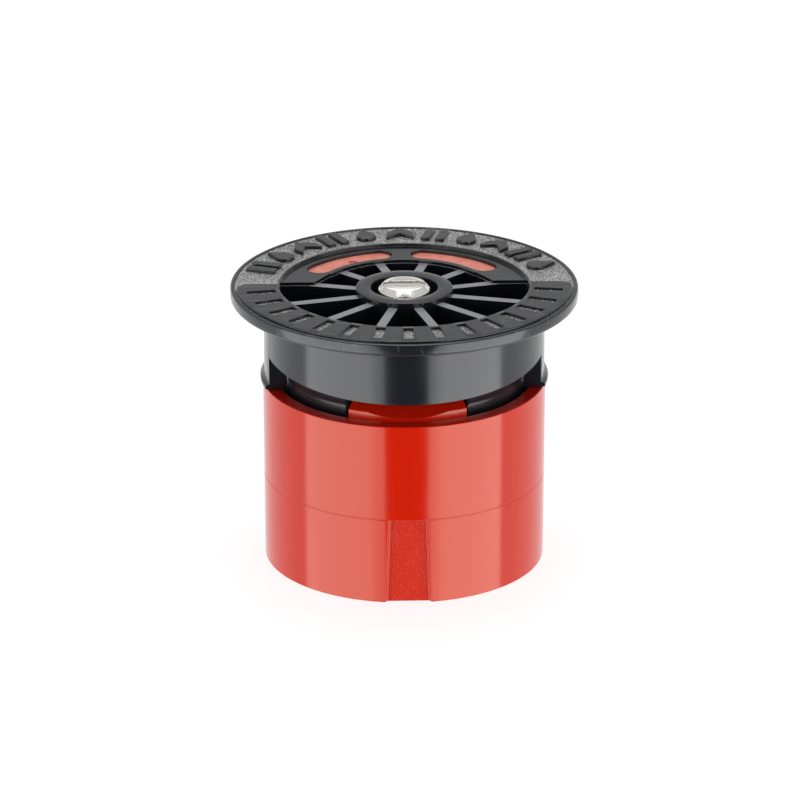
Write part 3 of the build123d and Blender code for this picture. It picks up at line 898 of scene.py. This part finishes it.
def stake_slots(bm, s):
    """Slots through the cap for the stakes."""
    for angle0, angle1 in STAKE_ANGLES:
        outline = bar_outline(s.stake_r, s.stake_t + 2 * s.stake_gap, angle0, angle1)
        prism(bm, outline, s.floor_z - 1, s.rim_z)


def head_pockets(bm, s):
    """Pockets in the crescent for the stakes' heads."""
    low = BODY_HIGH.z - s.head_t - s.stake_gap
    for angle0, angle1 in STAKE_ANGLES:
        outline = bar_outline(s.stake_r, s.head_w + 2 * s.stake_gap, angle0, angle1)
        prism(bm, outline, low, s.rim_z)


def band_edges(s):
    """Inner and outer radius of the raised band."""
    return recess_r(s) + 0.08, s.rim_r - 0.5


def cap_band(bm, s):
    """Raised band on the front half of the rim, with rounded top edges."""
    inner, outer = band_edges(s)
    low, high = s.rim_z - 0.1, s.rim_z + s.band_h
    lathe(bm, rounded(((inner, low), (outer, low), (outer, high, 0.1), (inner, high, 0.1)), 3), 180, 180)


def band_corners(bm, s):
    """What is taken off the band's two outer corners to round them."""
    _, outer = band_edges(s)
    across = math.sqrt(outer ** 2 - s.band_round ** 2) - s.band_round
    for side in (1, -1):
        outline = []
        for k in range(9):
            a = math.radians(k * 90 / 8)
            outline.append((side * (across + s.band_round * math.cos(a)), s.band_round * (math.sin(a) - 1)))
        outline += [(side * across, 1), (side * (outer + 1), 1), (side * (outer + 1), -s.band_round)]
        prism(bm, outline, s.rim_z - 1, s.rim_z + 2)


def grip_slots(bm, s):
    """Radial slots in the band, down to the rim's floor."""
    inner, _ = band_edges(s)
    middle = inner + 0.4 + s.slot_l / 2
    for k in range(s.slots):
        angle = 270 + (k - (s.slots - 1) / 2) * s.slot_pitch
        block(bm, (s.slot_l, s.slot_w, 1.0), (middle, 0, s.rim_z + 0.5), angle)


def pad_outlines(length_mm):
    """Plain raised marks, as outlines across and along the rim: a drop, two bars and a chevron."""
    drop = [(0, length_mm)]
    for k in range(13):
        a = math.radians(30 - k * 20)
        drop.append((0.85 * math.cos(a), 0.88 + 0.85 * math.sin(a)))
    bars = [rounded(((x - 0.38, 0.05, 0.1), (x + 0.38, 0.05, 0.1), (x + 0.38, length_mm - 0.05, 0.1),
                     (x - 0.38, length_mm - 0.05, 0.1)), 3) for x in (-0.62, 0.62)]
    chevron = rounded(((-1.15, 0.1, 0.08), (0, 1.1), (1.15, 0.1, 0.08), (1.15, 1.25, 0.08),
                       (0, length_mm - 0.15, 0.15), (-1.15, 1.25, 0.08)), 3)
    return [drop], bars, [chevron]


def cap_pads(bm, s):
    """Raised marks on the back half of the rim."""
    inner = recess_r(s) + 0.65
    marks = pad_outlines(s.pad_l)
    count, pitch = 11, 14.0
    for k in range(count):
        turn = Matrix.Rotation(math.radians((k - (count - 1) / 2) * pitch), 3, "Z")
        for outline in marks[k % len(marks)]:
            points = [turn @ Vector((p[0], p[1] + inner, 0)) for p in outline]
            top = prism(bm, points, s.rim_z - 0.1, s.rim_z + s.pad_h)
            edges = [e for e in {e for v in top for e in v.link_edges} if all(v in top for v in e.verts)]
            bmesh.ops.bevel(bm, geom=edges, offset=0.07, segments=2, affect="EDGES", profile=0.5, material=-1)


class OBJECT_OT_nozzle_cap(NozzlePiece, bpy.types.Operator):
    """Build the black deflector cap: rim, spoked recess, crescent, skirt and spray window."""

    bl_idname = "object.nozzle_cap"
    bl_label = "Deflector Cap"

    def execute(self, context):
        s = context.scene.nozzle_cap
        cap = shape("deflector_cap_moulding", cap_shell, s)
        window = shape("window", window_ring, s)
        combine(window, shape("wedge", window_wedge, s), "INTERSECT")
        combine(cap, window, "DIFFERENCE")
        combine(cap, shape("block_room", block_room, s), "DIFFERENCE")
        combine(cap, shape("key_slots", key_slots, s), "DIFFERENCE")
        combine(cap, shape("spokes", cap_spokes, s), "UNION")
        crescent = shape("crescent", crescent_ring, s)
        combine(crescent, shape("field", crescent_field, s), "INTERSECT")
        combine(crescent, shape("hollow", crescent_hollow, s), "DIFFERENCE")
        combine(cap, crescent, "UNION")
        combine(cap, shape("stake_slots", stake_slots, s), "DIFFERENCE")
        combine(cap, shape("head_pockets", head_pockets, s), "DIFFERENCE")
        band = shape("band", cap_band, s)
        combine(band, shape("corners", band_corners, s), "DIFFERENCE")
        combine(band, shape("grips", grip_slots, s), "DIFFERENCE")
        combine(cap, band, "UNION")
        combine(cap, shape("pads", cap_pads, s), "UNION")
        finish_piece(cap, material("Black moulded plastic"), "root", nodes=("deflector_cap",))
        return {"FINISHED"}


# Screw and inner parts

SCREW_PITCH = 0.7
SCREW_R = 1.25
SCREW_CORE_R = 1.05


def screw_shell(bm):
    """Turned screw: grooved tip, core of the thread, shank and domed head."""
    top, tip = SCREW_HIGH.z, SCREW_LOW.z
    head, head_z = SCREW_HIGH.x, SCREW_HIGH.z - 1.95
    tip_r, groove_r, play = 0.9, 0.6, 0.03
    low, high = CLIP_LOW.z - play, CLIP_HIGH.z + play
    shoulder = PLUG_HIGH.z + play
    lathe(bm, rounded((
        (0, tip), (tip_r - 0.2, tip), (tip_r, tip + 0.2), (tip_r, low), (groove_r, low),
        (groove_r, high), (tip_r, high), (tip_r, shoulder), (SCREW_CORE_R, shoulder),
        (SCREW_CORE_R, RING_LOW.z), (SCREW_R, RING_LOW.z + 0.1), (SCREW_R, head_z, 0.1),
        (head, head_z, 0.1), (head, top - 0.62, 0.25), (head - 0.42, top - 0.1, 0.3), (head * 0.55, top, 1.0),
        (0, top),
    ), 6))


def drive_slot(bm):
    """Slot across the screw's head."""
    width, depth = 0.5, 0.8
    block(bm, (3 * SCREW_HIGH.x, width, 2 * depth), (0, 0, SCREW_HIGH.z))


def screw_thread(bm):
    """Helical thread between the plug and the seal, sunk a little into the screw's core."""
    root, crest = SCREW_CORE_R - 0.05, SCREW_R
    low = PLUG_HIGH.z + 0.35
    turns = (RING_LOW.z - low - 0.2) / SCREW_PITCH
    outline = ((root, low - 0.28), (root, low + 0.28), (crest, low + 0.05), (crest, low - 0.05))
    lathe(bm, outline, 0.0, turns * 360, SCREW_PITCH, round(turns * 48))


class OBJECT_OT_nozzle_screw(NozzlePiece, bpy.types.Operator):
    """Build the slotted radius screw with its helical thread."""

    bl_idname = "object.nozzle_screw"
    bl_label = "Radius Screw"

    def execute(self, context):
        screw = shape("slotted_screw", screw_shell)
        combine(screw, shape("drive", drive_slot), "DIFFERENCE")
        combine(screw, shape("thread", screw_thread), "UNION")
        finish_piece(screw, material("Stainless steel"), "screw", edge=0.04,
                     nodes=("radius_screw",))
        return {"FINISHED"}


class OBJECT_OT_nozzle_inner_parts(NozzlePiece, bpy.types.Operator):
    """Give the plug, clip, seat, gasket and O-ring their finishes."""

    bl_idname = "object.nozzle_inner_parts"
    bl_label = "Inner Parts"

    def execute(self, context):
        finishes = {
            "throttle_plug": "White acetal",
            "plug_clip": "Spring steel",
            "throttle_seat": "Black rubber",
            "riser_gasket": "Black rubber",
            "screw_o_ring": "Black rubber",
        }
        for node, finish in finishes.items():
            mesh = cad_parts[node].data
            mesh.materials.clear()
            mesh.materials.append(material(finish))
        return {"FINISHED"}


# Stage

CAMERA_AZIMUTH = -1.7
CAMERA_ELEVATION = 21.3
CAMERA_DISTANCE = 0.440
CAMERA_LENS = 239.0
CAMERA_TARGET = (-0.00035, 0.0, 0.0133)
LIGHT_TARGET = (0.0, 0.0, 0.012)


def on_circle(azimuth, elevation, distance):
    """Point round the nozzle; azimuth 0 is in front of the window, 90 is on its right."""
    a, e = math.radians(azimuth), math.radians(elevation)
    return Vector((math.sin(a) * math.cos(e), -math.cos(a) * math.cos(e), math.sin(e))) * distance


def soft_panel(name, azimuth, elevation, distance, width, height, radiance):
    """Rectangular area light that faces the nozzle, with the given radiance."""
    light = bpy.data.lights.new(name, "AREA")
    light.shape = "RECTANGLE"
    light.size, light.size_y = width, height
    light.energy = radiance * math.pi * width * height
    obj = bpy.data.objects.new(name, light)
    away = on_circle(azimuth, elevation, distance)
    obj.location = Vector(LIGHT_TARGET) + away
    obj.rotation_mode = "QUATERNION"
    obj.rotation_quaternion = away.to_track_quat("Z", "Y")
    bpy.context.scene.collection.objects.link(obj)
    obj.visible_camera = False


def studio_world():
    """White studio: plain for the camera; in reflections darker in front and low behind."""
    world = bpy.data.worlds.new("Studio")
    world.use_nodes = True
    tree = world.node_tree
    background = tree.nodes["Background"]
    place = tree.nodes.new("ShaderNodeTexCoord")
    parts = tree.nodes.new("ShaderNodeSeparateXYZ")
    tree.links.new(place.outputs["Generated"], parts.inputs[0])
    x, y, z = parts.outputs
    forward = math_node(tree, "MULTIPLY", y, -1.0)
    turn = math_node(tree, "ABSOLUTE", math_node(tree, "ARCTAN2", x, forward))
    gap = smooth_step(tree, turn, math.radians(24), math.radians(30), 0.02, 0.75)
    behind = smooth_step(tree, turn, math.radians(95), math.radians(130))
    above = band_pass(tree, z, 0.22, 0.62, 0.08)
    dim = math_node(tree, "MULTIPLY", behind, above)
    keep = remap(tree, math_node(tree, "SUBTRACT", 1.0, dim), 0.6, 1.3)
    front = math_node(tree, "SUBTRACT", 1.0, behind)
    high = band_pass(tree, z, 0.06, 0.95, 0.05)
    low_front = math_node(tree, "SUBTRACT", 1.0, math_node(tree, "MULTIPLY", front, high))
    shade = math_node(tree, "MULTIPLY", gap, keep)
    shade = math_node(tree, "MULTIPLY", shade, remap(tree, low_front, 0.55, 1.0))
    path = tree.nodes.new("ShaderNodeLightPath")
    seen = path.outputs["Is Camera Ray"]
    unseen = math_node(tree, "SUBTRACT", 1.0, seen)
    strength = math_node(tree, "ADD", math_node(tree, "MULTIPLY", shade, unseen), seen)
    tree.links.new(strength, background.inputs["Strength"])
    background.inputs["Color"].default_value = (1.0, 1.0, 1.0, 1.0)
    bpy.context.scene.world = world


def studio_floor(colours):
    """Pale floor disc that the glossy pieces don't mirror."""
    bm = bmesh.new()
    bmesh.ops.create_circle(bm, cap_ends=True, segments=128, radius=2.5)
    mesh = bpy.data.meshes.new("studio_floor")
    bm.to_mesh(mesh)
    bm.free()
    floor = bpy.data.objects.new("studio_floor", mesh)
    bpy.context.scene.collection.objects.link(floor)
    made, tree, shader = new_material("Studio floor", tuple(colours.floor), 0.6, Emission_Strength=0.8)
    shader.inputs["Emission Color"].default_value = (1.0, 1.0, 1.0, 1.0)
    shader.inputs["Specular IOR Level"].default_value = 0.2
    coordinates = tree.nodes.new("ShaderNodeTexCoord").outputs["Object"]
    tree.links.new(remap(tree, noise(tree, coordinates, 40.0), 0.55, 0.65), shader.inputs["Roughness"])
    mesh.materials.append(made)
    floor.visible_glossy = False
    floor.visible_diffuse = False
    floor.visible_shadow = False


class OBJECT_OT_nozzle_stage(NozzlePiece, bpy.types.Operator):
    """Set the floor, the lights, the world and the camera."""

    bl_idname = "object.nozzle_stage"
    bl_label = "Stage"

    def execute(self, context):
        scene = context.scene
        studio_world()
        studio_floor(scene.nozzle_colours)
        soft_panel("left_panel", -53.2, -13.0, 0.6, 0.80, 0.80, 2.2)
        soft_panel("right_panel", 50.8, -13.0, 0.6, 0.72, 0.80, 2.6)
        soft_panel("top_panel", 180.0, 78.0, 0.7, 0.5, 0.4, 2.2)
        soft_panel("front_glint", 0.0, 66.0, 0.6, 0.5, 0.06, 5.0)
        data = bpy.data.cameras.new("camera")
        data.lens = CAMERA_LENS
        data.sensor_width = 36.0
        data.clip_start, data.clip_end = 0.05, 20.0
        camera = bpy.data.objects.new("camera", data)
        target = Vector(CAMERA_TARGET)
        back = on_circle(CAMERA_AZIMUTH, CAMERA_ELEVATION, 1.0)
        camera.location = target + back * CAMERA_DISTANCE
        camera.rotation_mode = "QUATERNION"
        camera.rotation_quaternion = back.to_track_quat("Z", "Y")
        scene.collection.objects.link(camera)
        scene.camera = camera
        scene.view_settings.view_transform = "Standard"
        scene.view_settings.look = "None"
        return {"FINISHED"}


class VIEW3D_PT_nozzle(bpy.types.Panel):
    """Lists the nozzle's pieces, sizes and colours."""

    bl_idname = "VIEW3D_PT_nozzle"
    bl_label = "Spray Nozzle"
    bl_space_type = "VIEW_3D"
    bl_region_type = "UI"
    bl_category = "Nozzle"

    def draw(self, context):
        for operator in OPERATORS:
            self.layout.operator(operator.bl_idname)
        for group in (context.scene.nozzle_body, context.scene.nozzle_cap, context.scene.nozzle_colours):
            box = self.layout.box()
            for name in group.__annotations__:
                box.prop(group, name)


OPERATORS = (
    OBJECT_OT_nozzle_body,
    OBJECT_OT_nozzle_riser_thread,
    OBJECT_OT_nozzle_cap,
    OBJECT_OT_nozzle_screw,
    OBJECT_OT_nozzle_inner_parts,
    OBJECT_OT_nozzle_stage,
)
GROUPS = (NozzleBodySizes, NozzleCapSizes, NozzleColours)


def register():
    for made in GROUPS + OPERATORS + (VIEW3D_PT_nozzle,):
        bpy.utils.register_class(made)
    bpy.types.Scene.nozzle_body = PointerProperty(type=NozzleBodySizes)
    bpy.types.Scene.nozzle_cap = PointerProperty(type=NozzleCapSizes)
    bpy.types.Scene.nozzle_colours = PointerProperty(type=NozzleColours)


def unregister():
    del bpy.types.Scene.nozzle_colours
    del bpy.types.Scene.nozzle_cap
    del bpy.types.Scene.nozzle_body
    for made in reversed(GROUPS + OPERATORS + (VIEW3D_PT_nozzle,)):
        bpy.utils.unregister_class(made)


def main():
    """Registers the add-on and builds every piece."""
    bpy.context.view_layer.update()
    register()
    bpy.ops.object.nozzle_body()
    bpy.ops.object.nozzle_riser_thread()
    bpy.ops.object.nozzle_cap()
    bpy.ops.object.nozzle_screw()
    bpy.ops.object.nozzle_inner_parts()
    bpy.ops.object.nozzle_stage()


if __name__ == "__main__":
    main()
